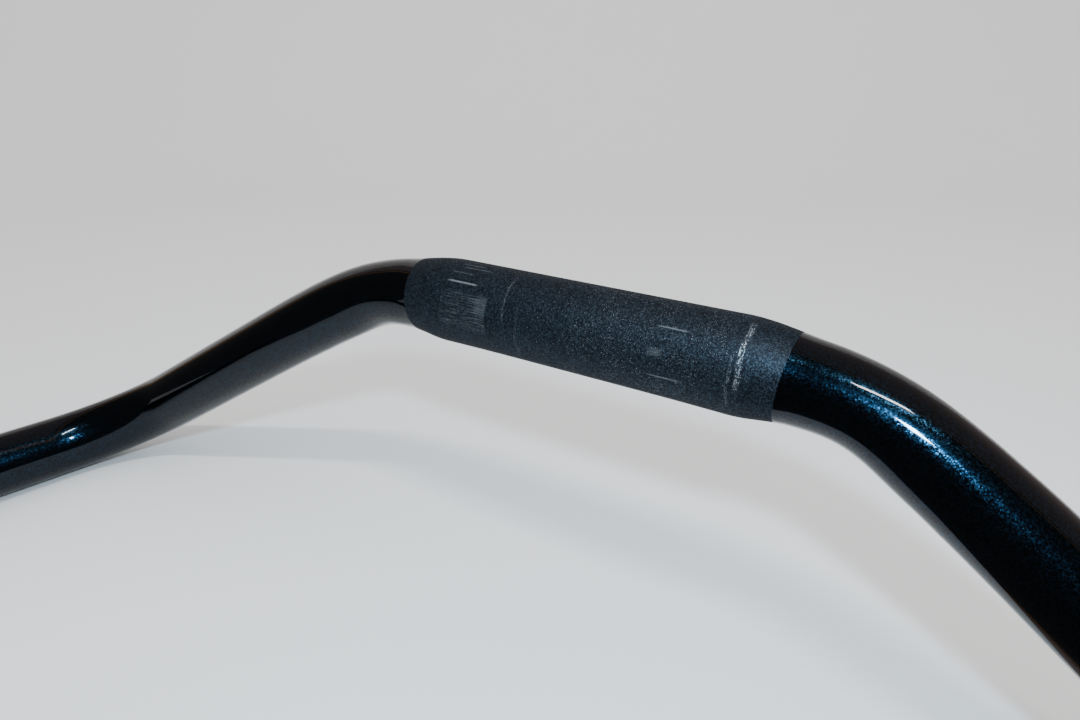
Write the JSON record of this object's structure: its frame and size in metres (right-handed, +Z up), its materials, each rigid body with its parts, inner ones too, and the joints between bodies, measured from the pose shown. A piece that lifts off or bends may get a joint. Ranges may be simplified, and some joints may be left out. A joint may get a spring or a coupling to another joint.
{
  "type": "bicycle handlebar",
  "caption": "Swept-back bicycle handlebar: one bent alloy tube with a thicker clamp zone, two flared grips and an expanding screw plug in each end.",
  "frame": {"origin": "middle of the clamp zone, on the tube's axis", "axes": "+X along the clamp zone to the bar's right-hand side as it lies, +Z up with the bar lying on its two grips, -Y towards the grips' ends"},
  "size_m": [0.5028, 0.2595, 0.0953],
  "materials": {
    "bar_finish": "gloss black clear coat over blue-black, with a matt blasted clamp zone",
    "plug_plastic": "satin",
    "plug_rubber": "matt",
    "wedge_brass": "turned",
    "screw_steel": "zinc plated"
  },
  "bodies": {
    "bar": {"bar_tube": "bar_finish"},
    "right_plug": {"right_plug_cap": "plug_plastic", "right_plug_sleeve": "plug_rubber"},
    "right_screw": {"right_plug_screw": "screw_steel"},
    "right_wedge": {"right_plug_wedge": "wedge_brass"},
    "left_plug": {"left_plug_cap": "plug_plastic", "left_plug_sleeve": "plug_rubber"},
    "left_screw": {"left_plug_screw": "screw_steel"},
    "left_wedge": {"left_plug_wedge": "wedge_brass"}
  },
  "joints": [
    {"name": "right_plug_pull", "type": "slide", "parent": "bar", "child": "right_plug", "axis": [0.2215, -0.9751, 0], "range_m": [0, 0.05]},
    {"name": "right_screw_turn", "type": "hinge", "parent": "right_plug", "child": "right_screw", "pos_m": [0.24025, -0.24147, -0.07156], "axis": [0.2215, -0.9751, 0], "range_deg": [0, 1440]},
    {"name": "right_wedge_travel", "type": "slide", "parent": "right_plug", "child": "right_wedge", "axis": [-0.2215, 0.9751, 0], "range_m": [0, 0.0032]},
    {"name": "left_plug_pull", "type": "slide", "parent": "bar", "child": "left_plug", "axis": [-0.2215, -0.9751, 0], "range_m": [0, 0.05]},
    {"name": "left_screw_turn", "type": "hinge", "parent": "left_plug", "child": "left_screw", "pos_m": [-0.24025, -0.24147, -0.07156], "axis": [-0.2215, -0.9751, 0], "range_deg": [0, 1440]},
    {"name": "left_wedge_travel", "type": "slide", "parent": "left_plug", "child": "left_wedge", "axis": [0.2215, 0.9751, 0], "range_m": [0, 0.0032]}
  ],
  "couplings": [
    {"joint": "right_screw_turn", "follows": "right_wedge_travel", "rad_per_m": 7854},
    {"joint": "left_screw_turn", "follows": "left_wedge_travel", "rad_per_m": 7854}
  ]
}
